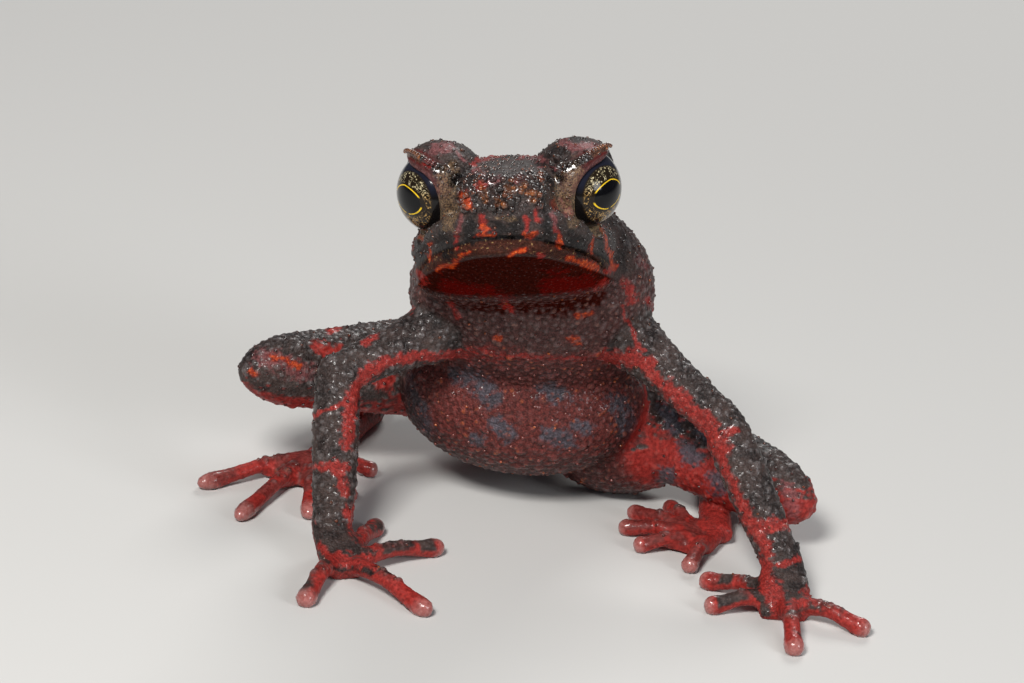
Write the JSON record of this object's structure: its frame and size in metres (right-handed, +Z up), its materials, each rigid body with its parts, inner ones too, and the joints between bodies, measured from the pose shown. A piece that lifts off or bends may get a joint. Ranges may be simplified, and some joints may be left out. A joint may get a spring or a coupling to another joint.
{
  "type": "bleeding toad, life-size still model",
  "caption": "Slender warty toad sitting up on stretched forelegs, head raised, hind legs folded; dark skin blotched with blood red.",
  "frame": {"origin": "middle of the model's outline, on the level that it stands on", "axes": "the toad faces -Y, its left side is at +X, and +Z is up"},
  "size_m": [0.0354, 0.027, 0.0228],
  "materials": {
    "dark_skin": "wet, granular, charcoal with red and orange spots",
    "belly_skin": "wet, granular, dark above and blood red below with grey patches",
    "leg_skin": "wet, dark above and smooth red below",
    "digit_skin": "wet, red with dark bands and pale pink tips",
    "eye": "clear gloss over a black iris flecked with gold"
  },
  "bodies": {
    "root": {"head": "dark_skin", "torso": "belly_skin", "eye_right": "eye", "eye_left": "eye", "upper_arm_right": "dark_skin", "forearm_right": "dark_skin", "hand_right": "dark_skin", "thigh_right": "leg_skin", "shank_right": "leg_skin", "tarsus_right": "leg_skin", "foot_right": "leg_skin", "finger_1_right": "digit_skin", "finger_2_right": "digit_skin", "finger_3_right": "digit_skin", "finger_4_right": "digit_skin", "toe_1_right": "digit_skin", "toe_2_right": "digit_skin", "toe_3_right": "digit_skin", "toe_4_right": "digit_skin", "toe_5_right": "digit_skin", "upper_arm_left": "dark_skin", "forearm_left": "dark_skin", "hand_left": "dark_skin", "thigh_left": "leg_skin", "shank_left": "leg_skin", "tarsus_left": "leg_skin", "foot_left": "leg_skin", "finger_1_left": "digit_skin", "finger_2_left": "digit_skin", "finger_3_left": "digit_skin", "finger_4_left": "digit_skin", "toe_1_left": "digit_skin", "toe_2_left": "digit_skin", "toe_3_left": "digit_skin", "toe_4_left": "digit_skin", "toe_5_left": "digit_skin"}
  },
  "joints": []
}
